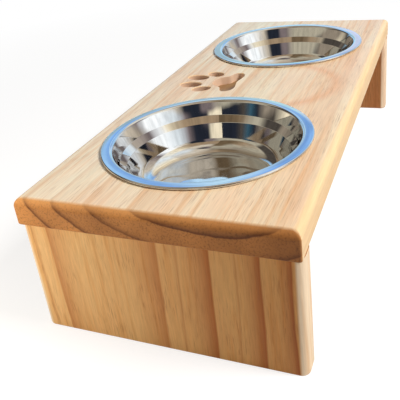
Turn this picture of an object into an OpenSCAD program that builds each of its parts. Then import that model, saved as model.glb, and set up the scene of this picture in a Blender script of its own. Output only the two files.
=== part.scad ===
// Raised feeder for a small dog: a pine plank on two legs cut from the same plank,
// with a steel bowl dropped into a round hole near each end and a paw print routed
// into the wood between them. X runs along the plank, Y across it and Z up from the
// floor. The origin is on the floor, below the middle of the plank. All lengths are
// in millimetres.

/* [Plank] */
// Length of the top board
board_length = 440; // [420:5:800]
// Width of the plank that makes the board and both legs
plank_width = 184; // [170:1:260]
// Thickness of that plank
plank_thickness = 19; // [16:0.5:28]
// Radius of the board's upper edges
upper_edge_radius = 5.5; // [2:0.5:8]
// Radius of the board's lower edges
lower_edge_radius = 1.5; // [0.5:0.25:3]

/* [Legs] */
// Height of a leg, from the floor to the underside of the board
leg_height = 83; // [60:1:300]
// Distance from the end of the board in to the leg's outer face
leg_inset = 2.5; // [0:0.5:8]
// Radius of a leg's four upright edges
leg_edge_radius = 5.5; // [1:0.5:7]
// Radius of the edges round a leg's foot
foot_edge_radius = 0.8; // [0.2:0.1:2]

/* [Bowls] */
// Distance from the end of the board to the middle of the bowl
bowl_setback = 104; // [98:1:110]
// Outer diameter of the rim
rim_diameter = 152; // [146:1:162]
// Width of the rim, from its outer edge in to the mouth
rim_band = 8; // [7:0.5:12]
// Height of the rolled edge above the board
rim_height = 2; // [1.8:0.1:3]
// Bend radius where the rim turns down into the mouth
mouth_bend = 2; // [1:0.1:2.5]
// Depth of the upper edge of the ledge round the wall, below the board's top
ledge_depth = 9.4; // [7:0.2:14]
// How far the wall leans in between the mouth and the ledge
upper_lean = 4; // [1:0.5:6]
// How far the ledge leads in
ledge_width = 4; // [3:0.2:6]
// How far the ledge falls as it leads in
ledge_drop = 5.2; // [3:0.2:7]
// Bend radius at both edges of the ledge
ledge_bend = 1.2; // [0.8:0.1:1.8]
// How far the wall would lean in between the ledge and the floor's level
lower_lean = 8; // [3:0.5:10]
// Radius of the curve from the wall to the floor of the bowl
belly_radius = 15; // [8:0.5:18]
// Depth of the bowl below the board's top
bowl_depth = 36; // [34:1:58]
// Thickness of the steel sheet
sheet_thickness = 0.7; // [0.4:0.1:0.9]
// Gap between the bowl's neck and the hole, all round
hole_clearance = 1.2; // [0.5:0.1:2]
// Gap between the rim and the board
seat_clearance = 0.2; // [0.1:0.05:0.5]
// Chamfer at both ends of the hole
hole_chamfer = 1; // [0.5:0.25:2]

/* [Paw print] */
// Depth of the routed paw print
paw_depth = 7; // [1:0.5:10]
// Distance of the main pad's middle from the board's middle, along the board
pad_along = 1; // [-8:1:8]
// Distance of the main pad's middle from the board's middle, across the board
pad_across = 26.5; // [12:1:40]
// Width of the main pad
pad_width = 48; // [40:1:54]
// Length of the main pad, towards the toes
pad_length = 24; // [18:1:28]
// Width of an inner toe
inner_toe_width = 13.4; // [8:0.5:16]
// Length of an inner toe
inner_toe_length = 20; // [12:0.5:24]
// Distance of an inner toe from the print's middle line
inner_toe_side = 9.4; // [9:0.2:12]
// Distance of an inner toe from the main pad's middle, towards the toes
inner_toe_ahead = 31; // [28:0.5:36]
// Outward tilt of an inner toe
inner_toe_tilt = 3; // [0:1:15]
// Width of an outer toe
outer_toe_width = 12; // [8:0.5:14]
// Length of an outer toe
outer_toe_length = 16.5; // [10:0.5:18]
// Distance of an outer toe from the print's middle line
outer_toe_side = 19.4; // [18:0.2:26]
// Distance of an outer toe from the main pad's middle, towards the toes
outer_toe_ahead = 17; // [14:0.5:22]
// Outward tilt of an outer toe
outer_toe_tilt = 26; // [0:1:45]

/* [Dowels] */
// Diameter of a dowel
dowel_diameter = 8; // [6:0.5:9]
// Length of a dowel
dowel_length = 30; // [24:1:40]
// Length of the dowel that stands in the board
dowel_in_board = 12; // [8:0.5:13]
// Distance between neighbouring dowels
dowel_spacing = 60; // [30:1:76]
// Chamfer at each end of a dowel
dowel_chamfer = 1; // [0.5:0.25:1.5]
// Number of glue flutes round a dowel
flute_count = 12; // [6:1:16]
// Radius of a glue flute
flute_radius = 0.6; // [0.3:0.1:0.8]
// Depth of a glue flute
flute_depth = 0.35; // [0.2:0.05:0.5]
// Gap round a dowel in its hole
dowel_clearance = 0.05; // [0.02:0.01:0.1]
// Room for glue beyond each end of a dowel
glue_room = 0.5; // [0.25:0.25:1]

/* [Hidden] */
SIDES = ["left", "right"];
ROWS = ["front", "middle", "back"];

$fn = 96;
bend_steps = 6;
belly_steps = 14;
loop_steps = 6;
toe_points = 40;
// How far a cutting shape runs past the face that it opens
overshoot = 1;

pine = [0.90, 0.77, 0.60];
beech = [0.84, 0.68, 0.50];
steel = [0.78, 0.80, 0.82];

board_underside = leg_height;
board_top = leg_height + plank_thickness;
leg_x = board_length / 2 - leg_inset - plank_thickness / 2;
bowl_x = board_length / 2 - bowl_setback;

rim_radius = rim_diameter / 2;
mouth_radius = rim_radius - rim_band;
hole_radius = mouth_radius + sheet_thickness + hole_clearance;

dowel_in_leg = dowel_length - dowel_in_board;
dowel_hole_radius = dowel_diameter / 2 + dowel_clearance;

// Half of the main pad's outline, as shares of its width and length, from the middle
// of its heel round to the middle of its front
pad_shape = [[0, -0.41], [0.17, -0.47], [0.33, -0.5], [0.45, -0.4], [0.5, -0.18], [0.42, -0.02],
    [0.31, 0.05], [0.25, 0.22], [0.17, 0.41], [0, 0.5]];

// Which way a side or a row lies: minus one, nought or one
function side_sign(side) = side == "left" ? -1 : 1;
function row_sign(row) = row == "front" ? -1 : row == "back" ? 1 : 0;

function unit(v) = v / norm(v);
function reversed(list) = [for (i = [len(list) - 1 : -1 : 0]) list[i]];

// Points along an arc round a centre
function arc(centre, radius, from, to, steps) =
    [for (i = [0:steps]) let (a = from + (to - from) * i / steps) centre + radius * [cos(a), sin(a)]];

// Points that turn the corner between before and after on an arc of the given radius
function bend(before, corner, after, radius, steps) =
    let (
        u = unit(before - corner),
        v = unit(after - corner),
        half_angle = acos(u * v) / 2,
        centre = corner + unit(u + v) * radius / sin(half_angle),
        start = corner + u * radius / tan(half_angle) - centre,
        first = atan2(start[1], start[0]),
        turn = (180 - 2 * half_angle) * sign(cross(u, v))
    )
    arc(centre, radius, first, first - turn, steps);

// Points beside a path, at a distance to its left
function beside(path, distance) =
    [for (i = [0 : len(path) - 1])
        let (along = unit(path[min(i + 1, len(path) - 1)] - path[max(i - 1, 0)]))
        path[i] + distance * [-along[1], along[0]]];

// Outline of a sheet whose middle follows a path
function sheet_outline(path, thickness) =
    concat(beside(path, thickness / 2), reversed(beside(path, -thickness / 2)));

// Smooth closed curve through a loop of points
function smooth_loop(points, steps) =
    let (n = len(points))
    [for (i = [0 : n - 1], s = [0 : steps - 1])
        let (
            t = s / steps,
            a = points[(i + n - 1) % n],
            b = points[i],
            c = points[(i + 1) % n],
            d = points[(i + 2) % n]
        )
        (2 * b + (c - a) * t + (2 * a - 5 * b + 4 * c - d) * t * t + (3 * b - a - 3 * c + d) * t * t * t) / 2];

// Middle of the bowl's sheet as radius and height above the seat, from the curled
// lip under the rim to the centre of the floor
function bowl_path() =
    let (
        half_sheet = sheet_thickness / 2,
        roll_centre = [rim_radius - rim_height / 2, rim_height / 2],
        rim_level = rim_height - half_sheet,
        floor_level = half_sheet - bowl_depth,
        roll_top = [roll_centre[0], rim_level],
        mouth = [mouth_radius + half_sheet, rim_level],
        ledge_outer = [mouth[0] - upper_lean, -ledge_depth],
        ledge_inner = ledge_outer - [ledge_width, ledge_drop],
        heel = [ledge_inner[0] - lower_lean, floor_level],
        middle = [0, floor_level]
    )
    concat(
        arc(roll_centre, rim_height / 2 - half_sheet, -165, 90, 2 * bend_steps),
        bend(roll_top, mouth, ledge_outer, mouth_bend + half_sheet, bend_steps),
        bend(mouth, ledge_outer, ledge_inner, ledge_bend, bend_steps),
        bend(ledge_outer, ledge_inner, heel, ledge_bend, bend_steps),
        bend(ledge_inner, heel, middle, belly_radius, belly_steps),
        [middle]
    );

// Waste outside a rounded corner whose square corner is at the origin
module corner_waste(radius) {
    difference() {
        translate([-radius, -radius]) square(radius + overshoot);
        translate([-radius, -radius]) circle(radius);
    }
}

// Rectangle that stands on the middle of its lower edge, with rounded corners
module rounded_section(width, height, upper_radius, lower_radius) {
    difference() {
        translate([-width / 2, 0]) square([width, height]);
        for (side = [0, 1]) mirror([side, 0]) {
            if (upper_radius > 0) translate([width / 2, height]) corner_waste(upper_radius);
            if (lower_radius > 0) translate([width / 2, 0]) mirror([0, 1]) corner_waste(lower_radius);
        }
    }
}

// Block that stands on the origin, with rounded edges all round its top and its foot
module eased_block(length, width, height, upper_radius, lower_radius) {
    intersection() {
        rotate([90, 0, 90]) linear_extrude(length, center = true)
            rounded_section(width, height, upper_radius, lower_radius);
        rotate([90, 0, 0]) linear_extrude(width, center = true)
            rounded_section(length, height, upper_radius, lower_radius);
    }
}

// One toe of the paw print, an oval that leans outwards
module toe(side, width, length, aside, ahead, tilt) {
    translate([side * aside, ahead]) rotate(-side * tilt)
        polygon([for (i = [0 : toe_points - 1])
            let (a = 360 * i / toe_points) [width / 2 * cos(a), length / 2 * sin(a)]]);
}

// Outline of the paw print, with its main pad round the origin and its toes towards +Y
module paw_outline() {
    right_half = [for (p = pad_shape) [p[0] * pad_width, p[1] * pad_length]];
    left_half = [for (i = [len(right_half) - 2 : -1 : 1]) [-right_half[i][0], right_half[i][1]]];
    polygon(smooth_loop(concat(right_half, left_half), loop_steps));
    for (side = [-1, 1]) {
        toe(side, inner_toe_width, inner_toe_length, inner_toe_side, inner_toe_ahead, inner_toe_tilt);
        toe(side, outer_toe_width, outer_toe_length, outer_toe_side, outer_toe_ahead, outer_toe_tilt);
    }
}

// Places its children at the joint between the board and one leg, for one dowel
module at_dowel(side, row) {
    translate([side_sign(side) * leg_x, row_sign(row) * dowel_spacing, board_underside]) children();
}

module bowl_hole() {
    cylinder(r = hole_radius, h = 2 * overshoot + plank_thickness);
    for (end = [0, 1])
        translate([0, 0, overshoot + end * plank_thickness]) mirror([0, 0, end])
            cylinder(r1 = hole_radius + hole_chamfer, r2 = hole_radius, h = hole_chamfer);
}

module top_board() {
    color(pine) difference() {
        translate([0, 0, board_underside])
            eased_block(board_length, plank_width, plank_thickness, upper_edge_radius, lower_edge_radius);
        for (side = SIDES)
            translate([side_sign(side) * bowl_x, 0, board_underside - overshoot]) bowl_hole();
        translate([pad_along, pad_across, board_top - paw_depth])
            linear_extrude(paw_depth + overshoot) paw_outline();
        for (side = SIDES, row = ROWS)
            at_dowel(side, row) translate([0, 0, -overshoot])
                cylinder(r = dowel_hole_radius, h = overshoot + dowel_in_board + glue_room);
    }
}

module leg(side) {
    color(pine) difference() {
        intersection() {
            translate([side_sign(side) * leg_x, 0, 0])
                eased_block(plank_thickness, plank_width, leg_height, 0, foot_edge_radius);
            translate([side_sign(side) * leg_x, -plank_width / 2, 0]) linear_extrude(leg_height)
                rounded_section(plank_thickness, plank_width, leg_edge_radius, leg_edge_radius);
        }
        for (row = ROWS)
            at_dowel(side, row) translate([0, 0, -dowel_in_leg - glue_room])
                cylinder(r = dowel_hole_radius, h = dowel_in_leg + glue_room + overshoot);
    }
}

module bowl(side) {
    color(steel) translate([side_sign(side) * bowl_x, 0, board_top + seat_clearance])
        rotate_extrude() polygon(sheet_outline(bowl_path(), sheet_thickness));
}

module dowel(side, row) {
    radius = dowel_diameter / 2;
    body_length = dowel_length - 2 * dowel_chamfer;
    color(beech) at_dowel(side, row) translate([0, 0, -dowel_in_leg]) difference() {
        union() {
            cylinder(r1 = radius - dowel_chamfer, r2 = radius, h = dowel_chamfer);
            translate([0, 0, dowel_chamfer]) cylinder(r = radius, h = body_length);
            translate([0, 0, dowel_chamfer + body_length])
                cylinder(r1 = radius, r2 = radius - dowel_chamfer, h = dowel_chamfer);
        }
        for (i = [0 : flute_count - 1])
            rotate(360 * i / flute_count)
                translate([radius + flute_radius - flute_depth, 0, -overshoot])
                    cylinder(r = flute_radius, h = dowel_length + 2 * overshoot);
    }
}

top_board();
for (side = SIDES) {
    leg(side);
    bowl(side);
    for (row = ROWS)
        dowel(side, row);
}
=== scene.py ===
import math
import bpy
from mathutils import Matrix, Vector


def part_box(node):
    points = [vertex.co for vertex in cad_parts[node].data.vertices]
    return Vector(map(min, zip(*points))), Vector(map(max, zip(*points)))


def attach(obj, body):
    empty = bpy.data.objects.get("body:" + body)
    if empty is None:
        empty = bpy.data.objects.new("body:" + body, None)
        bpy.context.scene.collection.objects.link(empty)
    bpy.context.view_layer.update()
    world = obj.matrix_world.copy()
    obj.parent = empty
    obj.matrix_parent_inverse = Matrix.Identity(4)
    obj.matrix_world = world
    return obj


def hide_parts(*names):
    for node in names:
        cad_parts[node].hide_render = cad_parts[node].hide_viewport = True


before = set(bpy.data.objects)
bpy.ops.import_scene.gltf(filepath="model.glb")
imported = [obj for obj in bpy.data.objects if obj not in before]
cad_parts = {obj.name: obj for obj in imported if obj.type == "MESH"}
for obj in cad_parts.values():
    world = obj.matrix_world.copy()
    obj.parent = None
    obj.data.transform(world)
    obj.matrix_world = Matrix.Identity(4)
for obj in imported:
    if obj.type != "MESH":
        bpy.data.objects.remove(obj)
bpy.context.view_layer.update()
mm = 0.001
hair = 0.01 * mm  # two points closer than this count as one

# Steps that are done by hand in the 3D view, as functions


def deselectAll():
    for thing in bpy.context.selected_objects:
        thing.select_set(False)


def makeActive(thing):
    deselectAll()
    thing.select_set(True)
    bpy.context.view_layer.objects.active = thing


def nameActive(name):
    thing = bpy.context.active_object
    thing.name = name
    thing.data.name = name
    return thing


def inEditMode(thing):
    makeActive(thing)
    bpy.ops.object.mode_set(mode="EDIT")


def inObjectMode():
    bpy.ops.object.mode_set(mode="OBJECT")


def settle(thing):  # the place goes into the mesh, so that the object sits at the origin
    makeActive(thing)
    bpy.ops.object.transform_apply(location=True, rotation=True, scale=True)


def startPicking(thing, kind):
    inEditMode(thing)
    bpy.ops.mesh.select_mode(type=kind)
    bpy.ops.mesh.select_all(action="DESELECT")
    inObjectMode()


def selectEdges(thing, wanted):  # picks the edges whose two ends pass the test
    startPicking(thing, "EDGE")
    points = thing.data.vertices
    for edge in thing.data.edges:
        first = points[edge.vertices[0]].co
        second = points[edge.vertices[1]].co
        edge.select = wanted(first, second)
    inEditMode(thing)


def selectFaces(thing, wanted):
    startPicking(thing, "FACE")
    for face in thing.data.polygons:
        face.select = wanted(face)
    inEditMode(thing)


def easeEdges(thing, wanted, radius, segments):
    selectEdges(thing, wanted)
    bpy.ops.mesh.bevel(offset=radius, segments=segments, profile=0.5, affect="EDGES")
    inObjectMode()


def sawnBlock(name, low, high):  # a square block between two corners
    deselectAll()
    bpy.ops.mesh.primitive_cube_add(size=1, location=(low + high) / 2)
    block = nameActive(name)
    block.dimensions = high - low
    settle(block)
    return block


def applyModifier(thing, kind, **settings):
    makeActive(thing)
    modifier = thing.modifiers.new("finish", kind)
    for name, value in settings.items():
        setattr(modifier, name, value)
    bpy.ops.object.modifier_apply(modifier="finish")


def cutAway(thing, cutter):
    applyModifier(thing, "BOOLEAN", operation="DIFFERENCE", object=cutter, solver="EXACT")
    bpy.data.objects.remove(cutter)


def softenShading(thing, angle):
    makeActive(thing)
    bpy.ops.object.shade_smooth_by_angle(angle=math.radians(angle))
    applyModifier(thing, "WEIGHTED_NORMAL", mode="FACE_AREA", weight=80, keep_sharp=True)


def copyAside(thing, name, shift):  # a second one with its own mesh, moved sideways
    makeActive(thing)
    bpy.ops.object.duplicate(linked=False)
    twin = nameActive(name)
    bpy.ops.transform.translate(value=shift)
    settle(twin)
    return twin


# Camera

photoCamera = {
    "place": (-0.460771, -0.154352, 0.271117),
    "turn": (65.5065, 6.3372, -68.6465),
    "lens": 52.092, "sensor": 36,
    "shift": (-0.015, -0.15),
    "clip": (0.01, 50),
}


def setUpCamera():
    data = bpy.data.cameras.new("photoCamera")
    data.sensor_width = photoCamera["sensor"]
    data.lens = photoCamera["lens"]
    data.shift_x, data.shift_y = photoCamera["shift"]
    data.clip_start, data.clip_end = photoCamera["clip"]
    data.dof.use_dof = False
    camera = bpy.data.objects.new("photoCamera", data)
    camera.location = photoCamera["place"]
    camera.rotation_euler = [math.radians(angle) for angle in photoCamera["turn"]]
    bpy.context.collection.objects.link(camera)
    bpy.context.scene.camera = camera
    bpy.context.scene.view_settings.view_transform = "Standard"


setUpCamera()
print("camera in place")

# Nodes


def feed(tree, socket, value):
    if isinstance(value, bpy.types.NodeSocket):
        tree.links.new(value, socket)
    else:
        socket.default_value = value


def addNode(tree, kind, inputs=None, **settings):
    node = tree.nodes.new(kind)
    for name, value in settings.items():
        setattr(node, name, value)
    for name, value in (inputs or {}).items():
        feed(tree, node.inputs[name], value)
    return node


def reckon(tree, operation, first, second=0.0):
    node = addNode(tree, "ShaderNodeMath", operation=operation)
    feed(tree, node.inputs[0], first)
    feed(tree, node.inputs[1], second)
    return node.outputs[0]


def times(tree, first, second):
    return reckon(tree, "MULTIPLY", first, second)


def reckonVector(tree, operation, first, second=(0, 0, 0)):
    node = addNode(tree, "ShaderNodeVectorMath", operation=operation)
    feed(tree, node.inputs[0], first)
    feed(tree, node.inputs[1], second)
    return node.outputs["Value" if operation == "LENGTH" else "Vector"]


def lengthInPlan(tree, vector):  # how long a vector is, seen along its Z
    return reckonVector(tree, "LENGTH", reckonVector(tree, "MULTIPLY", vector, (1, 1, 0)))


def distanceInPlan(tree, vector, middle):
    return lengthInPlan(tree, reckonVector(tree, "SUBTRACT", vector, middle))


def splitVector(tree, vector):
    return addNode(tree, "ShaderNodeSeparateXYZ", {"Vector": vector}).outputs


def blendColours(tree, share, first, second, mode="MIX"):
    node = addNode(tree, "ShaderNodeMix", data_type="RGBA", blend_type=mode)
    feed(tree, node.inputs[0], share)
    feed(tree, node.inputs[6], first)
    feed(tree, node.inputs[7], second)
    return node.outputs[2]


def darken(tree, colour, tint, share=1.0):
    return blendColours(tree, share, colour, tint, "MULTIPLY")


def spread(tree, value, low, high, newLow=0.0, newHigh=1.0):
    node = addNode(tree, "ShaderNodeMapRange", {"Value": value}, clamp=True)
    node.inputs["From Min"].default_value = low
    node.inputs["From Max"].default_value = high
    node.inputs["To Min"].default_value = newLow
    node.inputs["To Max"].default_value = newHigh
    return node.outputs["Result"]


def noise(tree, vector, size, detail=2.0, rough=0.5, output="Fac"):
    node = addNode(tree, "ShaderNodeTexNoise", {"Vector": vector})
    node.inputs["Scale"].default_value = 1.0 / size
    node.inputs["Detail"].default_value = detail
    node.inputs["Roughness"].default_value = rough
    return node.outputs[output]


def swing(tree, vector, size, detail, rough, reach):  # a random push, up to half of reach each way
    push = noise(tree, vector, size, detail, rough, "Color")
    return reckonVector(tree, "MULTIPLY", reckonVector(tree, "SUBTRACT", push, (0.5, 0.5, 0.5)), reach)


def stretched(tree, vector, across, along, shift=0.0):  # longer along the grain, local Z
    node = addNode(tree, "ShaderNodeMapping", {"Vector": vector})
    node.inputs["Scale"].default_value = (1.0 / across, 1.0 / across, 1.0 / along)
    node.inputs["Location"].default_value = (shift, shift * 0.7, shift * 1.3)
    return node.outputs["Vector"]


def addBump(tree, shader, height, strength, distance):
    bump = addNode(tree, "ShaderNodeBump", {"Height": height, "Strength": strength, "Distance": distance})
    feed(tree, shader.inputs["Normal"], bump.outputs["Normal"])


def emptyTree(owner):
    owner.use_nodes = True
    owner.node_tree.nodes.clear()
    return owner.node_tree


def newMaterial(name):
    material = bpy.data.materials.new(name)
    tree = emptyTree(material)
    shader = addNode(tree, "ShaderNodeBsdfPrincipled")
    output = addNode(tree, "ShaderNodeOutputMaterial")
    tree.links.new(shader.outputs[0], output.inputs["Surface"])
    return material, tree, shader


def blendShaders(tree, share, first, second):
    node = addNode(tree, "ShaderNodeMixShader")
    feed(tree, node.inputs[0], share)
    tree.links.new(first.outputs[0], node.inputs[1])
    tree.links.new(second.outputs[0], node.inputs[2])
    return node


def fromSrgb(red, green, blue):
    def straight(value):
        value = value / 255
        return value / 12.92 if value <= 0.04045 else ((value + 0.055) / 1.055) ** 2.4
    return (straight(red), straight(green), straight(blue), 1.0)


# Pine. Every plank has its own heart, the line round which its yearly rings run. The
# board and the legs each give the heart's place in millimetres, the radii at which the
# dark wood of a ring starts and ends, with its depth, and the tints.

boardGrain = {
    "turn": (0, -90, 0), "heart": (200, 38, 0), "along": (1, 0, 0),  # local Z runs along the board
    "seed": 3.0, "wander": 10.0, "wanderSize": 70.0, "ripple": 2.4,
    "rings": [(66, 92, 1.0), (99, 107.5, 1.0), (115, 124, 0.9), (132, 141, 1.0), (150, 157, 1.0)],
    "reach": 180.0, "ringDepth": 0.34, "gloss": 0.36,
    "pale": fromSrgb(247, 235, 206), "pink": fromSrgb(247, 219, 186),
    "warm": fromSrgb(232, 180, 126), "warmth": 0.55, "late": fromSrgb(220, 164, 108),
    # the edge colour on the next line is paler than the faces, as painted light on the narrow sides
    "pore": fromSrgb(164, 112, 66), "dashDepth": 0.42, "edge": fromSrgb(242, 206, 156),
    # painted shade: the tint and share on the next line darken the faces towards −Y, and the end's last tint
    # darkens the end the same way
    "paintedShadeTint": (1.0, 0.86, 0.70, 1), "paintedShadeDepth": 0.6,
    "endPale": fromSrgb(208, 144, 80), "endLate": fromSrgb(96, 46, 16),
    "endPaintedShadeTint": (0.62, 0.52, 0.42, 1), "endEase": fromSrgb(230, 170, 108),
    # where the saw ran along a ring, its line closes to an arch
    "arch": {"place": (-0.003, -0.021, 0), "radius": 0.050, "width": 0.009, "fade": 0.0225, "share": 0.7,
             "tint": fromSrgb(238, 184, 136)},
    # the routed print's walls are paler, as painted light, and its bottoms darker, as painted shade
    "print": {"place": (0.001, 0.040, 0), "reach": 0.045, "below": 0.1008, "paintedLitWallShare": 0.8,
              "paintedLitWall": fromSrgb(220, 188, 166), "paintedShadeBottom": (0.35, 0.26, 0.17, 1)},
}
leftLegGrain = {
    "turn": (0, 2.8, 0), "heart": (192.5, -34, 0), "along": (0, 0, 1),  # local Z runs up the leg
    "seed": 9.0, "wander": 8.0, "wanderSize": 60.0, "ripple": 2.8,
    "rings": [(29, 43.8, 0.7), (52, 54, 0.5), (57, 73.4, 0.95), (87, 88.6, 0.5), (91, 104, 1.0),
              (114, 122.5, 1.0)],
    "reach": 160.0, "ringDepth": 0.95, "gloss": 0.5,
    "pale": fromSrgb(243, 203, 142), "pink": fromSrgb(240, 193, 132),
    "warm": fromSrgb(226, 164, 94), "warmth": 0.6, "late": fromSrgb(186, 108, 42),
    # the edge colour on the next line is paler than the faces, as painted light on the narrow sides
    "pore": fromSrgb(140, 80, 36), "dashDepth": 0.4, "edge": fromSrgb(248, 226, 196),
    # painted shade: the tint and share on the next line darken the faces towards −Y, and the end's last tint
    # darkens the end the same way
    "paintedShadeTint": (0.66, 0.46, 0.26, 1), "paintedShadeDepth": 0.8,
    "endPale": fromSrgb(206, 146, 88), "endLate": fromSrgb(128, 70, 30),
    "endPaintedShadeTint": (0.9, 0.8, 0.7, 1), "endEase": fromSrgb(224, 166, 108),
}
rightLegGrain = dict(leftLegGrain)
rightLegGrain.update({
    "heart": (-170.0, 66, 0), "seed": 21.0,
    "rings": [(30, 44, 0.6), (62, 78, 0.9), (92, 101, 0.9), (110, 118, 0.9), (128, 136, 0.9)],
    # the far leg's darker, redder tints here and on the next line are partly its own wood and partly painted
    # shade
    "pale": fromSrgb(218, 153, 97), "pink": fromSrgb(210, 141, 86), "warm": fromSrgb(200, 124, 70),
    # painted shade: this leg's own tint and share for darkening towards −Y
    "late": fromSrgb(168, 90, 42), "paintedShadeTint": (0.9, 0.8, 0.7, 1), "paintedShadeDepth": 0.4,
})

# The marks that all the pine has: how wide each is in millimetres, how many times
# longer than wide, how fine and rough its noise is, and a shift that keeps it apart
pineMarks = {
    "fibre": {"width": 1.1, "longer": 26, "detail": 3.0, "rough": 0.6, "shift": 5},
    "streak": {"width": 5.0, "longer": 30, "detail": 3.0, "rough": 0.55, "shift": 17},
    "patch": {"width": 34.0, "longer": 3.2, "detail": 2.0, "rough": 0.5, "shift": 43},
    "porePatch": {"width": 17.0, "longer": 3, "detail": 1.0, "rough": 0.5, "shift": 57},
    "poreDash": {"width": 0.72, "longer": 20, "detail": 1.5, "rough": 0.5, "shift": 71},
    "poreDot": {"width": 1.3, "longer": 1, "detail": 3.0, "rough": 0.75, "shift": 91},
}
# How a mark or a place turns into a share of a tint: the values it runs between, and
# then, unless these are 0 and 1, the shares at its two ends
pineTones = {
    "pores": (0.55, 0.70), "poreCrowds": (0.38, 0.62, 0.25, 1.0),
    "pinkPatches": (0.35, 0.65), "warmStreaks": (0.50, 0.70), "fibreShade": (0.3, 0.7, 0.88, 1.05),
    # the first entry on the next line gives the narrow sides their share of painted light
    "paintedEdgeLight": (0.05, 0.32, 0.0, 0.88), "edgeStreaks": (0.5, 0.75, 0.0, 0.5),
    # painted shade: how the faces and the ends darken towards −Y
    "paintedShadeAcross": (0.085, -0.085), "endPaintedShadeAcross": (0.06, -0.085, 0.0, 0.9),
    "endGrain": (0.08, 0.5), "endMurk": (0.4, 0.7), "dotShade": (0.34, 0.5, 0.62, 1.05),
    "endEase": (0.6, 0.98, 0.45, 0.0), "streakSheen": (0.3, 0.7),
}
pineFinish = {
    "ior": 1.47, "sheenBelow": 0.05, "sheenAbove": 0.07, "endRoughness": 0.12, "endSharpness": 1.9,
    "endMurk": 0.35, "fibreRelief": 0.6, "ringRelief": 0.4, "poreRelief": 0.5,
    "reliefStrength": 0.35, "reliefDepth": 0.12 * mm,
}
ringShape = {"kneePlace": 0.62, "kneeDepth": 0.45, "edgeWidth": 0.9}
ringWander = {  # the rings stray slowly, and ripple finely
    "slowLonger": 5, "slowDetail": 1.0, "slowRough": 0.4,
    "fineWidth": 9.0, "fineLonger": 8, "fineDetail": 2.0, "fineRough": 0.5, "fineShift": 31,
}
steep = 0.5  # a face counts as level where its normal's Z is above this


def addMark(tree, vector, name):
    mark = pineMarks[name]
    vector = stretched(tree, vector, 1, mark["longer"], mark["shift"])
    return noise(tree, vector, mark["width"], mark["detail"], mark["rough"])


def addRings(tree, radius, plank):
    reach = plank["reach"]
    ramp = addNode(tree, "ShaderNodeValToRGB", {"Fac": reckon(tree, "DIVIDE", radius, reach)})
    stops = ramp.color_ramp
    places = [(0.0, 0.0)]
    for start, edge, depth in plank["rings"]:  # pale, slowly darker, then a sharp outer edge
        places.append((start, 0.0))
        places.append((start + ringShape["kneePlace"] * (edge - start), ringShape["kneeDepth"] * depth))
        places.append((edge, depth))
        places.append((edge + ringShape["edgeWidth"], 0.0))
    while len(stops.elements) < len(places):
        stops.elements.new(0.5)
    for element, (place, depth) in zip(stops.elements, places):
        element.position = min(place / reach, 1.0)
        element.color = (depth, depth, depth, 1.0)
    return ramp.outputs["Color"]


def strayFromGrain(tree, grain, plank):
    wander, ripple = plank["wander"], plank["ripple"]
    slow = stretched(tree, grain, 1, ringWander["slowLonger"], plank["seed"])
    slow = swing(tree, slow, plank["wanderSize"], ringWander["slowDetail"], ringWander["slowRough"],
                 (wander, wander, 0))
    fine = stretched(tree, grain, 1, ringWander["fineLonger"], plank["seed"] + ringWander["fineShift"])
    fine = swing(tree, fine, ringWander["fineWidth"], ringWander["fineDetail"], ringWander["fineRough"],
                 (ripple, ripple, 0))
    return reckonVector(tree, "ADD", reckonVector(tree, "ADD", grain, slow), fine)


def readPlank(tree, plank):  # what the face and the end of a plank are both mixed from
    coordinates = addNode(tree, "ShaderNodeTexCoord").outputs
    heart = addNode(tree, "ShaderNodeMapping", {"Vector": coordinates["Object"]})
    heart.inputs["Scale"].default_value = (1 / mm, 1 / mm, 1 / mm)
    heart.inputs["Rotation"].default_value = [math.radians(angle) for angle in plank["turn"]]
    heart.inputs["Location"].default_value = plank["heart"]
    grain = heart.outputs["Vector"]
    warped = strayFromGrain(tree, grain, plank)
    wood = {
        "point": coordinates["Object"], "normal": coordinates["Normal"],
        "place": splitVector(tree, coordinates["Object"]), "slope": splitVector(tree, coordinates["Normal"]),
        "late": addRings(tree, lengthInPlan(tree, warped), plank),
        "fibre": addMark(tree, warped, "fibre"), "streak": addMark(tree, warped, "streak"),
        "patch": addMark(tree, grain, "patch"), "dots": addMark(tree, grain, "poreDot"),
    }
    pores = spread(tree, addMark(tree, grain, "poreDash"), *pineTones["pores"])
    crowds = spread(tree, addMark(tree, grain, "porePatch"), *pineTones["poreCrowds"])
    wood["dashes"] = times(tree, pores, crowds)
    return wood


def addArch(tree, wood, body, arch):
    away = distanceInPlan(tree, wood["point"], arch["place"])
    off = reckon(tree, "ABSOLUTE", reckon(tree, "SUBTRACT", away, arch["radius"]))
    band = spread(tree, off, 0.0, arch["width"], arch["share"], 0.0)
    middle = arch["place"][1]
    side = spread(tree, wood["place"]["Y"], middle - arch["fade"], middle, 1.0, 0.0)
    return blendColours(tree, times(tree, band, side), body, arch["tint"])


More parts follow.
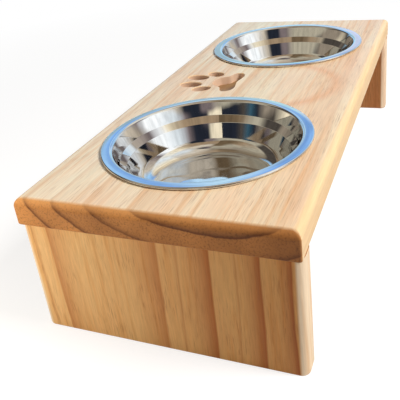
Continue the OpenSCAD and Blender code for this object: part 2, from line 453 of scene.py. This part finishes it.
def mixFaces(tree, wood, plank):  # the broad faces, and the narrow edges, which are plainer and carry a paler colour that is painted light
    patches = spread(tree, wood["patch"], *pineTones["pinkPatches"])
    pale = blendColours(tree, patches, plank["pale"], plank["pink"])
    warmth = spread(tree, wood["streak"], *pineTones["warmStreaks"])
    warmth = times(tree, warmth, plank["warmth"])
    body = blendColours(tree, warmth, pale, plank["warm"])
    if "arch" in plank:
        body = addArch(tree, wood, body, plank["arch"])
    tinted = blendColours(tree, times(tree, wood["late"], plank["ringDepth"]), body, plank["late"])
    # painted shade: the faces darken towards −Y
    paintedShadeShare = spread(tree, wood["place"]["Y"], *pineTones["paintedShadeAcross"], 0.0, plank["paintedShadeDepth"])
    tinted = darken(tree, tinted, plank["paintedShadeTint"], paintedShadeShare)
    shade = spread(tree, wood["fibre"], *pineTones["fibreShade"])
    fibred = darken(tree, tinted, shade)
    pored = blendColours(tree, times(tree, wood["dashes"], plank["dashDepth"]), fibred, plank["pore"])
    # painted light: the narrow sides turn to the paler edge colour
    litEdgeShare = spread(tree, reckon(tree, "ABSOLUTE", wood["slope"]["Y"]), *pineTones["paintedEdgeLight"])
    edge = darken(tree, plank["edge"], shade)
    edge = blendColours(tree, spread(tree, wood["streak"], *pineTones["edgeStreaks"]), edge, plank["warm"])
    return blendColours(tree, litEdgeShare, pored, edge)


# Painted light on the print's walls, and painted shade on its bottoms
def mixPrintLightAndShade(tree, wood, faces, inPrint, routed):
    upright = reckon(tree, "LESS_THAN", reckon(tree, "ABSOLUTE", wood["slope"]["Z"]), steep)
    level = reckon(tree, "GREATER_THAN", wood["slope"]["Z"], steep)
    shadedBottoms = times(tree, reckon(tree, "LESS_THAN", wood["place"]["Z"], routed["below"]), level)
    litWalls = times(tree, times(tree, inPrint, upright), routed["paintedLitWallShare"])
    faces = blendColours(tree, litWalls, faces, routed["paintedLitWall"])
    return darken(tree, faces, routed["paintedShadeBottom"], times(tree, inPrint, shadedBottoms))


def mixEnd(tree, wood, plank, facing):  # darker, with crisp rings and pores that are dots
    crisp = reckon(tree, "POWER", wood["late"], pineFinish["endSharpness"])
    ringed = blendColours(tree, crisp, plank["endPale"], plank["endLate"])
    murk = times(tree, spread(tree, wood["patch"], *pineTones["endMurk"]), pineFinish["endMurk"])
    mottled = blendColours(tree, murk, ringed, plank["endLate"])
    dotted = darken(tree, mottled, spread(tree, wood["dots"], *pineTones["dotShade"]))
    eased = blendColours(tree, spread(tree, facing, *pineTones["endEase"]), dotted, plank["endEase"])
    # painted shade: the end darkens towards −Y
    paintedShadeShare = spread(tree, wood["place"]["Y"], *pineTones["endPaintedShadeAcross"])
    return darken(tree, eased, plank["endPaintedShadeTint"], paintedShadeShare)


def makePine(name, plank):
    material, tree, shader = newMaterial(name)
    wood = readPlank(tree, plank)
    facing = reckonVector(tree, "LENGTH", reckonVector(tree, "MULTIPLY", wood["normal"], plank["along"]))
    acrossGrain = spread(tree, facing, *pineTones["endGrain"])
    faces = mixFaces(tree, wood, plank)
    if "print" in plank:
        routed = plank["print"]
        away = distanceInPlan(tree, wood["point"], routed["place"])
        inPrint = reckon(tree, "LESS_THAN", away, routed["reach"])
        faces = mixPrintLightAndShade(tree, wood, faces, inPrint, routed)
        acrossGrain = times(tree, acrossGrain, reckon(tree, "SUBTRACT", 1.0, inPrint))
    colour = blendColours(tree, acrossGrain, faces, mixEnd(tree, wood, plank, facing))
    feed(tree, shader.inputs["Base Color"], colour)

    sheen = spread(tree, wood["streak"], *pineTones["streakSheen"],
                   plank["gloss"] - pineFinish["sheenBelow"], plank["gloss"] + pineFinish["sheenAbove"])
    roughness = reckon(tree, "ADD", sheen, times(tree, acrossGrain, pineFinish["endRoughness"]))
    feed(tree, shader.inputs["Roughness"], roughness)
    shader.inputs["IOR"].default_value = pineFinish["ior"]
    fibreRelief = times(tree, wood["fibre"], pineFinish["fibreRelief"])
    relief = reckon(tree, "ADD", fibreRelief, times(tree, wood["late"], pineFinish["ringRelief"]))
    relief = reckon(tree, "SUBTRACT", relief, times(tree, wood["dashes"], pineFinish["poreRelief"]))
    addBump(tree, shader, relief, pineFinish["reliefStrength"], pineFinish["reliefDepth"])
    return material


boardPine = makePine("boardPine", boardGrain)
leftLegPine = makePine("leftLegPine", leftLegGrain)
rightLegPine = makePine("rightLegPine", rightLegGrain)
print("pine mixed")

# Polished steel: pressed sheet whose floor is a little uneven

steelFinish = {  # each mark's noise is its size, detail and roughness
    "bright": (0.67, 0.67, 0.67, 1), "dull": (0.61, 0.615, 0.62, 1),
    "scuffs": (12 * mm, 4.0, 0.6), "scuffRange": (0.4, 0.7),
    "smears": (30 * mm, 2.0, 0.5), "smearRange": (0.35, 0.7), "roughness": (0.03, 0.065),
    "waves": (27 * mm, 0.5, 0.5), "waveDepth": 2.4 * mm, "waveStrength": 0.6,
    "floorLevels": (68 * mm, 75 * mm),
}


def makeSteel():
    material, tree, shader = newMaterial("polishedSteel")
    point = addNode(tree, "ShaderNodeTexCoord").outputs["Object"]
    scuffs = spread(tree, noise(tree, point, *steelFinish["scuffs"]), *steelFinish["scuffRange"])
    feed(tree, shader.inputs["Base Color"],
         blendColours(tree, scuffs, steelFinish["bright"], steelFinish["dull"]))
    smears = noise(tree, point, *steelFinish["smears"])
    feed(tree, shader.inputs["Roughness"],
         spread(tree, smears, *steelFinish["smearRange"], *steelFinish["roughness"]))
    shader.inputs["Metallic"].default_value = 1.0
    onFloor = spread(tree, splitVector(tree, point)["Z"], *steelFinish["floorLevels"], 1.0, 0.0)
    waves = times(tree, noise(tree, point, *steelFinish["waves"]), onFloor)
    addBump(tree, shader, waves, steelFinish["waveStrength"], steelFinish["waveDepth"])
    return material


steel = makeSteel()
print("steel mixed")

# Beech, for the dowels that the model already holds

beechFinish = {
    "pale": fromSrgb(214, 170, 122), "dark": fromSrgb(188, 138, 92), "roughness": (0.5, 0.65),
    "fibreWidth": 1 * mm, "fibreLength": 18 * mm, "fibres": (1.0, 3.0, 0.6), "fibreRange": (0.3, 0.7),
    "reliefStrength": 0.3, "reliefDepth": 0.1 * mm,
}


def makeBeech():
    material, tree, shader = newMaterial("beech")
    point = addNode(tree, "ShaderNodeTexCoord").outputs["Object"]
    lengthwise = stretched(tree, point, beechFinish["fibreWidth"], beechFinish["fibreLength"])
    fibre = noise(tree, lengthwise, *beechFinish["fibres"])
    dark = spread(tree, fibre, *beechFinish["fibreRange"])
    feed(tree, shader.inputs["Base Color"],
         blendColours(tree, dark, beechFinish["pale"], beechFinish["dark"]))
    feed(tree, shader.inputs["Roughness"],
         spread(tree, fibre, *beechFinish["fibreRange"], *beechFinish["roughness"]))
    addBump(tree, shader, fibre, beechFinish["reliefStrength"], beechFinish["reliefDepth"])
    return material


beech = makeBeech()
for nodeName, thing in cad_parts.items():
    if nodeName.startswith("dowel"):
        for place in thing.material_slots:
            place.material = beech
print("beech mixed")

# Top board

board = {
    "upperRadius": 5.5 * mm, "lowerRadius": 1.5 * mm, "cornerRadius": 1.5 * mm,
    "holeRadius": 69.9 * mm, "holeChamfer": 1 * mm, "bowlPlace": 116 * mm,
    "upperSteps": 8, "lowerSteps": 3, "cornerSteps": 4, "cornerReach": 10 * mm,
    "holeSteps": 160, "smoothAngle": 32,
}
boardLow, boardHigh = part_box("top_board")


def easedBoard(name, low, high):
    block = sawnBlock(name, low, high)
    easeEdges(block, lambda a, b: min(a.z, b.z) > high.z - hair, board["upperRadius"], board["upperSteps"])
    easeEdges(block, lambda a, b: max(a.z, b.z) < low.z + hair, board["lowerRadius"], board["lowerSteps"])

    def onCorner(point):  # on the line where two eased edges meet
        return abs((high.x - abs(point.x)) - (high.y - abs(point.y))) < hair

    def upright(a, b):  # both ends are at the same corner
        near = abs(a.x - b.x) < board["cornerReach"] and abs(a.y - b.y) < board["cornerReach"]
        return onCorner(a) and onCorner(b) and near

    easeEdges(block, upright, board["cornerRadius"], board["cornerSteps"])
    return block


def holeCutter(x, low, high):  # a round cutter that widens at both of the board's faces
    radius = board["holeRadius"]
    chamfer = board["holeChamfer"]
    growth = (radius + 2 * chamfer) / radius
    deselectAll()
    bpy.ops.mesh.primitive_cylinder_add(
        vertices=board["holeSteps"], radius=radius, depth=high - low, location=(x, 0, (low + high) / 2))
    cutter = nameActive("hole")
    settle(cutter)
    for level, way in ((high, 1), (low, -1)):
        selectFaces(cutter, lambda face: abs(face.center.z - level) < hair)
        bpy.ops.transform.translate(value=(0, 0, -way * chamfer))
        bpy.ops.mesh.extrude_region_move(TRANSFORM_OT_translate={"value": (0, 0, way * 2 * chamfer)})
        bpy.ops.transform.resize(value=(growth, growth, 1), center_override=(x, 0, level))
        inObjectMode()
    return cutter


topBoard = easedBoard("topBoard", boardLow, boardHigh)
for side in (-1, 1):
    cutAway(topBoard, holeCutter(side * board["bowlPlace"], boardLow.z, boardHigh.z))
print("board cut for the bowls")

# Paw print, routed into the board

pawPrint = {
    "depth": 7 * mm, "ease": 0.5 * mm,
    "padPlace": (1 * mm, 26.5 * mm), "padWidth": 48 * mm, "padLength": 24 * mm,
    # half of the pad's outline, as shares of its width and length, from heel to front
    "padShape": [(0, -0.41), (0.17, -0.47), (0.33, -0.5), (0.45, -0.4), (0.5, -0.18), (0.42, -0.02),
                 (0.31, 0.05), (0.25, 0.22), (0.17, 0.41), (0, 0.5)],
    "padSteps": 6, "toeSteps": 40,
}
toes = [
    {"width": 13.4 * mm, "length": 20 * mm, "aside": 9.4 * mm, "ahead": 31 * mm, "tilt": 3},
    {"width": 12 * mm, "length": 16.5 * mm, "aside": 19.4 * mm, "ahead": 17 * mm, "tilt": 26},
]


def padOutline():  # a smooth closed curve through the pad's points
    right = [(x * pawPrint["padWidth"], y * pawPrint["padLength"]) for x, y in pawPrint["padShape"]]
    loop = right + [(-x, y) for x, y in right[-2:0:-1]]
    count = len(loop)
    curve = []
    for i in range(count):
        a, b, c, d = (Vector(loop[(i + k) % count]) for k in (-1, 0, 1, 2))
        for step in range(pawPrint["padSteps"]):
            t = step / pawPrint["padSteps"]
            curve.append((2 * b + (c - a) * t + (2 * a - 5 * b + 4 * c - d) * t * t
                          + (3 * b - a - 3 * c + d) * t ** 3) / 2)
    return curve


def toeOutline(width, length, tilt):  # an oval that leans
    lean = math.radians(tilt)
    outline = []
    for i in range(pawPrint["toeSteps"]):
        turn = 2 * math.pi * i / pawPrint["toeSteps"]
        x = width / 2 * math.cos(turn)
        y = length / 2 * math.sin(turn)
        across = x * math.cos(lean) - y * math.sin(lean)
        ahead = x * math.sin(lean) + y * math.cos(lean)
        outline.append(Vector((across, ahead)))
    return outline


def recess(outline, x, y):  # a cutter that flares a little at the board's face
    top = boardHigh.z
    depth = pawPrint["depth"]
    ease = pawPrint["ease"]
    deselectAll()
    bpy.ops.mesh.primitive_circle_add(vertices=len(outline), radius=1, fill_type="NGON", location=(0, 0, 0))
    cutter = nameActive("recess")
    for point, target in zip(cutter.data.vertices, outline):
        point.co = (x + target.x, y + target.y, top - depth)
    inEditMode(cutter)
    bpy.ops.mesh.select_all(action="SELECT")
    bpy.ops.mesh.normals_make_consistent(inside=False)
    bpy.ops.mesh.extrude_region_move(TRANSFORM_OT_translate={"value": (0, 0, depth - ease)})
    bpy.ops.mesh.extrude_region_move(TRANSFORM_OT_translate={"value": (0, 0, 2 * ease)})
    width = max(point.x for point in outline) - min(point.x for point in outline)
    growth = 1 + 4 * ease / width
    bpy.ops.transform.resize(value=(growth, growth, 1), center_override=(x, y, top))
    bpy.ops.mesh.select_all(action="SELECT")
    bpy.ops.mesh.normals_make_consistent(inside=False)
    inObjectMode()
    return cutter


padX, padY = pawPrint["padPlace"]
cutAway(topBoard, recess(padOutline(), padX, padY))
for toe in toes:
    for side in (-1, 1):
        outline = toeOutline(toe["width"], toe["length"], -side * toe["tilt"])
        cutAway(topBoard, recess(outline, padX + side * toe["aside"], padY + toe["ahead"]))
topBoard.data.materials.clear()
topBoard.data.materials.append(boardPine)
softenShading(topBoard, board["smoothAngle"])
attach(topBoard, "stand")
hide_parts("top_board")
print("board finished:", len(topBoard.data.polygons), "faces")

# Legs: one is made and copied to the other end

leg = {"edgeRadius": 5.5 * mm, "footRadius": 0.8 * mm, "edgeSteps": 8, "footSteps": 3, "smoothAngle": 32}


def easedLeg(name, low, high):
    block = sawnBlock(name, low, high)
    easeEdges(block, lambda a, b: abs(a.z - b.z) > hair, leg["edgeRadius"], leg["edgeSteps"])
    easeEdges(block, lambda a, b: max(a.z, b.z) < low.z + hair, leg["footRadius"], leg["footSteps"])
    softenShading(block, leg["smoothAngle"])
    return block


legLow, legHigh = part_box("left_leg")
leftLeg = easedLeg("leftLeg", legLow, legHigh)
rightLeg = copyAside(leftLeg, "rightLeg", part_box("right_leg")[0] - legLow)
for piece, node, material in ((leftLeg, "left_leg", leftLegPine), (rightLeg, "right_leg", rightLegPine)):
    piece.data.materials.append(material)
    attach(piece, "stand")
    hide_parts(node)
print("legs finished")

# Bowls: one is drawn ring by ring and copied to the other hole; sizes in millimetres

bowl = {
    "rimRadius": 76.0, "rimBand": 8.0, "rimHeight": 2.0, "mouthBend": 2.0,
    "ledgeDepth": 9.4, "upperLean": 4.0, "ledgeWidth": 4.0, "ledgeDrop": 5.2, "ledgeBend": 1.2,
    "lowerLean": 8.0, "bellyRadius": 15.0, "depth": 36.0, "sheet": 0.7,
    "turns": 160, "rollSteps": 12, "mouthSteps": 7, "ledgeSteps": 5, "bellySteps": 20,
    "rollFrom": -165, "rollTo": 90,  # the rolled rim's arc, in degrees
    "floorRings": (27.0, 15.0, 6.0),  # radii of the rings that carry the flat floor
}


def arcPoints(centre, radius, start, end, steps):
    points = []
    for i in range(steps + 1):
        turn = math.radians(start + (end - start) * i / steps)
        points.append(Vector((centre[0] + radius * math.cos(turn), centre[1] + radius * math.sin(turn))))
    return points


def bendPoints(before, corner, after, radius, steps):  # rounds the corner between two points
    u = (before - corner).normalized()
    v = (after - corner).normalized()
    half = math.acos(max(-1, min(1, u.dot(v)))) / 2
    centre = corner + (u + v).normalized() * (radius / math.sin(half))
    start = corner + u * (radius / math.tan(half)) - centre
    first = math.degrees(math.atan2(start.y, start.x))
    turn = (180 - 2 * math.degrees(half)) * (1 if u.x * v.y - u.y * v.x > 0 else -1)
    return arcPoints(centre, radius, first, first - turn, steps)


def bowlProfile():  # radius and height above the seat, along the middle of the sheet
    half = bowl["sheet"] / 2
    rollCentre = (bowl["rimRadius"] - bowl["rimHeight"] / 2, bowl["rimHeight"] / 2)
    rollRadius = bowl["rimHeight"] / 2 - half
    rimLevel = bowl["rimHeight"] - half
    floorLevel = half - bowl["depth"]
    rollTop = Vector((rollCentre[0], rimLevel))
    mouth = Vector((bowl["rimRadius"] - bowl["rimBand"] + half, rimLevel))
    ledgeOuter = Vector((mouth.x - bowl["upperLean"], -bowl["ledgeDepth"]))
    ledgeInner = ledgeOuter - Vector((bowl["ledgeWidth"], bowl["ledgeDrop"]))
    heel = Vector((ledgeInner.x - bowl["lowerLean"], floorLevel))
    middle = Vector((0, floorLevel))
    points = arcPoints(rollCentre, rollRadius, bowl["rollFrom"], bowl["rollTo"], bowl["rollSteps"])
    points += bendPoints(rollTop, mouth, ledgeOuter, bowl["mouthBend"] + half, bowl["mouthSteps"])
    points += bendPoints(mouth, ledgeOuter, ledgeInner, bowl["ledgeBend"], bowl["ledgeSteps"])
    points += bendPoints(ledgeOuter, ledgeInner, heel, bowl["ledgeBend"], bowl["ledgeSteps"])
    points += bendPoints(ledgeInner, heel, middle, bowl["bellyRadius"], bowl["bellySteps"])
    points += [Vector((radius, floorLevel)) for radius in bowl["floorRings"]]
    return points


def drawBowl(name, x, y, seat):
    profile = bowlProfile()
    first = profile[0]
    deselectAll()
    bpy.ops.mesh.primitive_circle_add(
        vertices=bowl["turns"], radius=first.x * mm, location=(x, y, seat + first.y * mm))
    piece = nameActive(name)
    settle(piece)
    inEditMode(piece)
    bpy.ops.mesh.select_all(action="SELECT")
    for before, after in zip(profile, profile[1:]):  # ring after ring, down to the middle
        share = after.x / before.x
        drop = (0, 0, (after.y - before.y) * mm)
        bpy.ops.mesh.extrude_region_move(TRANSFORM_OT_translate={"value": drop})
        bpy.ops.transform.resize(value=(share, share, 1), center_override=(x, y, seat + after.y * mm))
    bpy.ops.mesh.edge_face_add()
    bpy.ops.mesh.poke()
    bpy.ops.mesh.select_all(action="SELECT")
    bpy.ops.mesh.normals_make_consistent(inside=False)
    inObjectMode()
    applyModifier(piece, "SOLIDIFY", thickness=bowl["sheet"] * mm, offset=0, use_even_offset=True)
    makeActive(piece)
    bpy.ops.object.shade_smooth()
    return piece


bowlLow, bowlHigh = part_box("left_bowl")
bowlMiddle = (bowlLow + bowlHigh) / 2
leftBowl = drawBowl("leftBowl", bowlMiddle.x, bowlMiddle.y, bowlHigh.z - bowl["rimHeight"] * mm)
leftBowl.data.materials.append(steel)
rightBowl = copyAside(leftBowl, "rightBowl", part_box("right_bowl")[0] - bowlLow)
for piece, node in ((leftBowl, "left_bowl"), (rightBowl, "right_bowl")):
    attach(piece, node)
    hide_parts(node)
print("bowls finished")

# Floor: a plain pale one, which the camera sees as white away from the shadow

floorLook = {
    "size": 8, "tint": (0.48, 0.47, 0.455, 1), "shadowTint": (0.35, 0.35, 0.35, 1),
    "lift": 0.72, "plainFrom": 0.3, "plainPast": 1.0,
}
white = (1, 1, 1, 1)


def makeFloorMaterial():
    material = bpy.data.materials.new("floorWhite")
    tree = emptyTree(material)
    lit = addNode(tree, "ShaderNodeBsdfDiffuse", {"Color": floorLook["tint"]})
    shadowed = addNode(tree, "ShaderNodeBsdfDiffuse", {"Color": floorLook["shadowTint"]})
    lifted = addNode(tree, "ShaderNodeEmission", {"Color": white, "Strength": floorLook["lift"]})
    near = addNode(tree, "ShaderNodeAddShader")
    tree.links.new(shadowed.outputs[0], near.inputs[0])
    tree.links.new(lifted.outputs[0], near.inputs[1])
    plain = addNode(tree, "ShaderNodeEmission", {"Color": white, "Strength": 1.0})
    point = addNode(tree, "ShaderNodeTexCoord").outputs["Object"]
    away = reckonVector(tree, "LENGTH", point)
    farOff = spread(tree, away, floorLook["plainFrom"], floorLook["plainPast"])
    seen = blendShaders(tree, farOff, near, plain)
    path = addNode(tree, "ShaderNodeLightPath").outputs
    surface = blendShaders(tree, path["Is Camera Ray"], lit, seen)
    output = addNode(tree, "ShaderNodeOutputMaterial")
    tree.links.new(surface.outputs[0], output.inputs["Surface"])
    return material


deselectAll()
bpy.ops.mesh.primitive_plane_add(size=floorLook["size"], location=(0, 0, 0))
floor = nameActive("floor")
floor.data.materials.append(makeFloorMaterial())
print("floor laid")

# What the steel mirrors: pale screens and dark cards set up round the feeder, in belts one
# above the other; each belt lists angles from +X, in degrees, and the tint that stands there

screens = {
    "black": (34, 38, 48), "umber": (72, 66, 60), "teal": (52, 84, 100), "mauve": (118, 106, 106),
    "stone": (142, 130, 114), "beige": (172, 164, 144), "tan": (152, 130, 104), "brown": (108, 90, 68),
    "sand": (200, 188, 170), "cream": (240, 226, 196), "sky": (158, 202, 238), "cloud": (216, 224, 228),
    "white": (250, 253, 254), "blue": (122, 166, 226), "pale": (184, 218, 238), "lilac": (190, 198, 224),
    "ice": (172, 212, 222), "haze": (150, 178, 192),
}
tableBelt = [
    (-180, "stone"), (-170, "black"), (-140, "black"), (-130, "mauve"), (-100, "cloud"), (-70, "stone"),
    (-40, "sand"), (-10, "sky"), (45, "sky"), (60, "umber"), (85, "cream"), (105, "umber"), (135, "umber"),
    (145, "teal"), (155, "black"), (175, "black")]
lowerBelt = [
    (-180, "cream"), (-165, "cream"), (-160, "black"), (-140, "black"), (-130, "mauve"), (-115, "cloud"),
    (-90, "white"), (-75, "white"), (-60, "mauve"), (-30, "cloud"), (-5, "sky"), (8, "lilac"), (14, "ice"),
    (22, "haze"), (45, "haze"), (55, "umber"), (75, "stone"), (120, "stone"), (130, "black"), (140, "teal"),
    (150, "umber"), (160, "black"), (175, "black")]
middleBelt = [
    (-180, "beige"), (-165, "mauve"), (-155, "mauve"), (-150, "black"), (-130, "black"), (-120, "sand"),
    (-95, "white"), (-80, "white"), (-65, "mauve"), (-25, "sand"), (-10, "sky"), (14, "blue"), (23, "pale"),
    (32, "blue"), (42, "sky"), (50, "umber"), (105, "umber"), (115, "beige"), (180, "beige")]
stepBelt = [
    (-180, "tan"), (-120, "tan"), (-90, "cream"), (-40, "cloud"), (-5, "cream"), (15, "tan"), (35, "brown"),
    (90, "beige"), (130, "tan"), (150, "brown"), (165, "brown")]
upperBelt = [
    (-180, "brown"), (-160, "sand"), (-105, "sand"), (-70, "cloud"), (-10, "sand"), (35, "tan"),
    (50, "brown"), (70, "stone"), (130, "beige"), (160, "brown")]
topBelt = [
    (-180, "stone"), (-140, "mauve"), (-120, "black"), (-105, "black"), (-75, "sand"), (-25, "sand"),
    (40, "stone"), (160, "beige")]
beltSeams = [  # height in degrees at which each next belt starts, and how softly
    (10, 2, lowerBelt), (21, 1, middleBelt), (42, 2, stepBelt), (61, 3, upperBelt), (75, 3, topBelt)]
studio = {
    "softTint": (1.0, 0.97, 0.94, 1), "softStrength": 0.22, "mirrorStrength": 1.55,
    "folds": (0.25, 1.0, 0.5), "foldReach": (0.06, 0.06, 0.04),
    "mottles": (0.09, 3.0, 0.6), "mottleRange": (0.35, 0.6), "mottleTint": (0.82, 1.06),
}


def addBelt(tree, azimuth, bands):
    ramp = addNode(tree, "ShaderNodeValToRGB", {"Fac": azimuth})
    stops = ramp.color_ramp
    while len(stops.elements) < len(bands):
        stops.elements.new(0.5)
    for element, (angle, tint) in zip(stops.elements, bands):
        element.position = (angle + 180) / 360
        element.color = fromSrgb(*screens[tint])
    return ramp.outputs["Color"]


def mixScreens(tree):
    outlook = addNode(tree, "ShaderNodeTexCoord").outputs["Generated"]
    folds = swing(tree, outlook, *studio["folds"], studio["foldReach"])
    outlook = reckonVector(tree, "NORMALIZE", reckonVector(tree, "ADD", outlook, folds))
    parts = splitVector(tree, outlook)
    azimuth = reckon(tree, "DIVIDE", reckon(tree, "ARCTAN2", parts["Y"], parts["X"]), 2 * math.pi)
    azimuth = reckon(tree, "ADD", azimuth, 0.5)
    height = reckon(tree, "ARCSINE", parts["Z"])
    mirrored = addBelt(tree, azimuth, tableBelt)
    for level, fade, bands in beltSeams:
        above = spread(tree, height, math.radians(level - fade), math.radians(level + fade))
        mirrored = blendColours(tree, above, mirrored, addBelt(tree, azimuth, bands))
    mottles = noise(tree, outlook, *studio["mottles"])
    return darken(tree, mirrored, spread(tree, mottles, *studio["mottleRange"], *studio["mottleTint"]))


def setUpWorld():
    world = bpy.data.worlds.new("studio")
    bpy.context.scene.world = world
    tree = emptyTree(world)
    soft = addNode(tree, "ShaderNodeBackground",
                   {"Color": studio["softTint"], "Strength": studio["softStrength"]})
    seen = addNode(tree, "ShaderNodeBackground", {"Color": white, "Strength": 1.0})
    mirror = addNode(tree, "ShaderNodeBackground",
                     {"Color": mixScreens(tree), "Strength": studio["mirrorStrength"]})
    path = addNode(tree, "ShaderNodeLightPath").outputs
    straight = reckon(tree, "MAXIMUM", path["Is Camera Ray"], path["Is Transmission Ray"])
    surface = blendShaders(tree, path["Is Glossy Ray"], blendShaders(tree, straight, soft, seen), mirror)
    output = addNode(tree, "ShaderNodeOutputWorld")
    tree.links.new(surface.outputs[0], output.inputs["Surface"])


setUpWorld()
print("screens set up")

# Lamps: a soft key from the front side, and a small warm fill by the near leg

keyLight = {
    "place": (0.0, -1.4, 1.4), "target": (0, 0, 0.08), "size": 0.6, "power": 41, "tint": (1.0, 0.98, 0.95)}
nearFill = {
    "place": (-0.37, 0.23, 0.13), "target": (-0.21, 0.06, 0.07), "size": 0.14, "power": 0.5,
    "tint": (1.0, 0.87, 0.70)}


def addLamp(name, look):
    data = bpy.data.lights.new(name, "AREA")
    data.shape = "SQUARE"
    data.size = look["size"]
    data.energy = look["power"]
    data.color = look["tint"]
    lamp = bpy.data.objects.new(name, data)
    lamp.location = look["place"]
    aim = Vector(look["target"]) - Vector(look["place"])
    lamp.rotation_euler = aim.to_track_quat("-Z", "Y").to_euler()
    lamp.visible_camera = False
    lamp.visible_glossy = False
    bpy.context.collection.objects.link(lamp)


addLamp("keyLamp", keyLight)
addLamp("nearFill", nearFill)
print("lamps in place")
